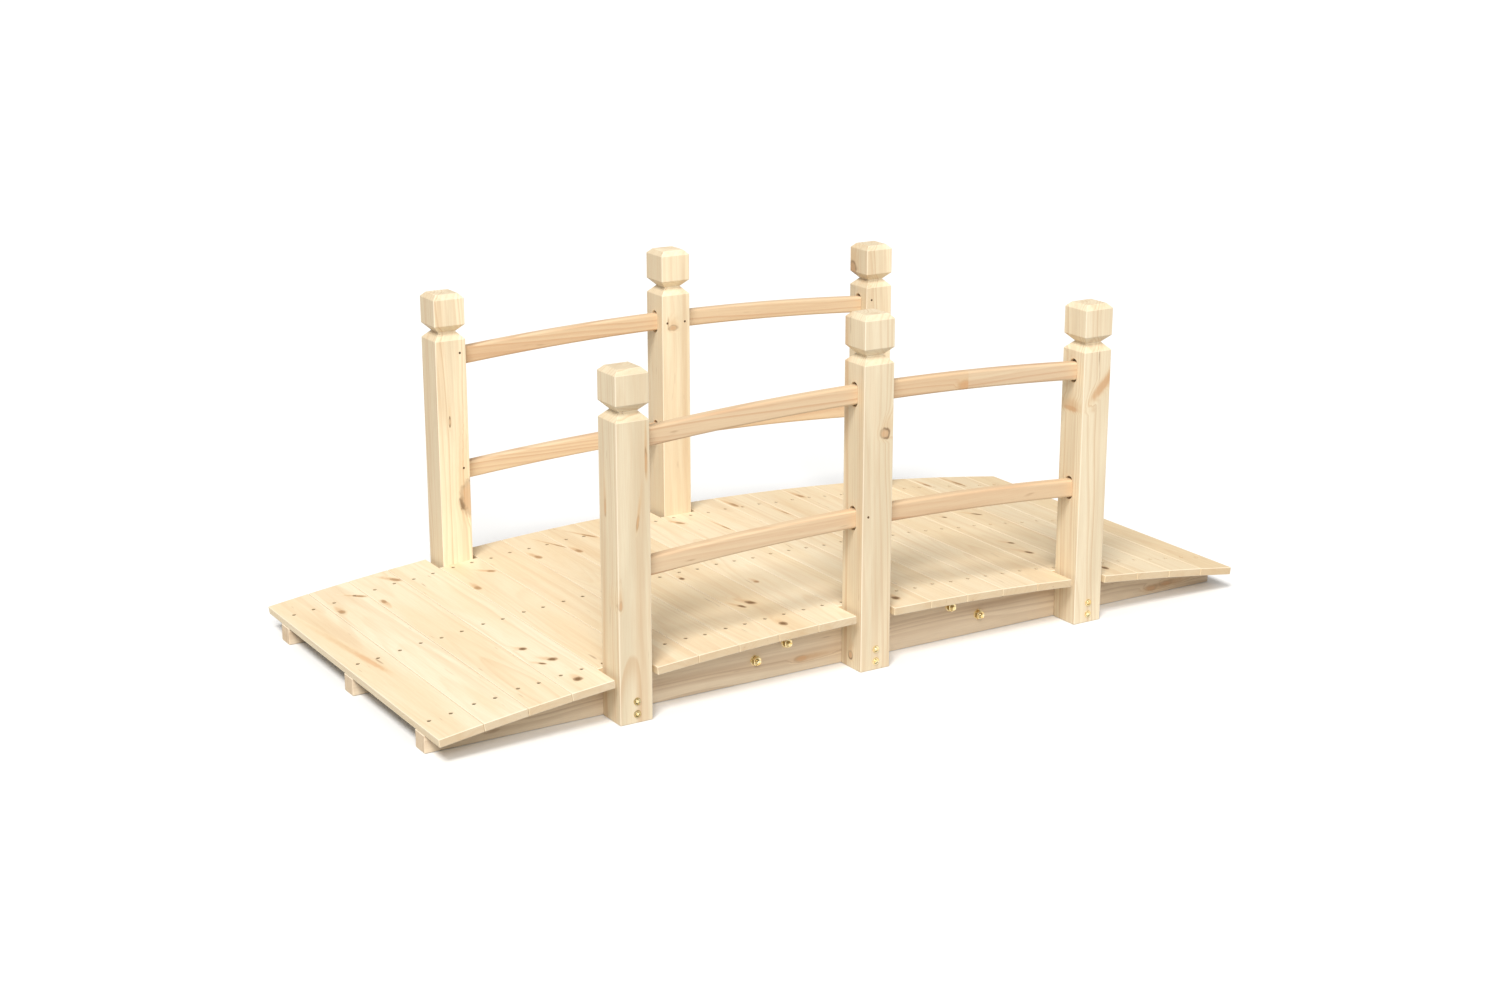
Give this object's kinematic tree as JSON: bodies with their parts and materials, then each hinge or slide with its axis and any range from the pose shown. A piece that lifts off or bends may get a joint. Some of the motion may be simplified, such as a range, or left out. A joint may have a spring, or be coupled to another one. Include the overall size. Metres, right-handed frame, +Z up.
{
  "type": "garden bridge",
  "caption": "Arched timber garden bridge: cross boards on curved stringers, square posts with grooved heads, and curved rails between them on both sides.",
  "frame": {"origin": "on the ground at the middle of the bridge, under the middle stringer", "axes": "+X along the walkway, +Y across it, +Z up"},
  "size_m": [1.4992, 0.678, 0.571],
  "materials": {
    "deck_wood": "bare planed softwood, pale, matt",
    "stringer_wood": "bare sawn softwood, matt",
    "post_wood": "bare planed softwood, pale, matt",
    "rail_wood": "bare planed softwood, warm, matt",
    "fastener_metal": "yellow zinc plating, satin",
    "nail_metal": "dull steel, set below the wood"
  },
  "bodies": {
    "root": {"deck_board_01": "deck_wood", "deck_board_02": "deck_wood", "deck_board_03": "deck_wood", "deck_board_04": "deck_wood", "deck_board_05": "deck_wood", "deck_board_06": "deck_wood", "deck_board_07": "deck_wood", "deck_board_08": "deck_wood", "deck_board_09": "deck_wood", "deck_board_10": "deck_wood", "deck_board_11": "deck_wood", "deck_board_12": "deck_wood", "deck_board_13": "deck_wood", "deck_board_14": "deck_wood", "deck_board_15": "deck_wood", "deck_board_16": "deck_wood", "deck_board_17": "deck_wood", "deck_board_18": "deck_wood", "deck_board_19": "deck_wood", "deck_board_20": "deck_wood", "deck_board_21": "deck_wood", "stringer_near_left": "stringer_wood", "stringer_near_right": "stringer_wood", "stringer_middle_left": "stringer_wood", "stringer_middle_right": "stringer_wood", "stringer_far_left": "stringer_wood", "stringer_far_right": "stringer_wood", "splice_near": "stringer_wood", "splice_middle": "stringer_wood", "splice_far": "stringer_wood", "post_near_left": "post_wood", "post_near_middle": "post_wood", "post_near_right": "post_wood", "post_far_left": "post_wood", "post_far_middle": "post_wood", "post_far_right": "post_wood", "rail_near_left_top": "rail_wood", "rail_near_left_low": "rail_wood", "rail_near_right_top": "rail_wood", "rail_near_right_low": "rail_wood", "rail_far_left_top": "rail_wood", "rail_far_left_low": "rail_wood", "rail_far_right_top": "rail_wood", "rail_far_right_low": "rail_wood"}
  },
  "joints": []
}
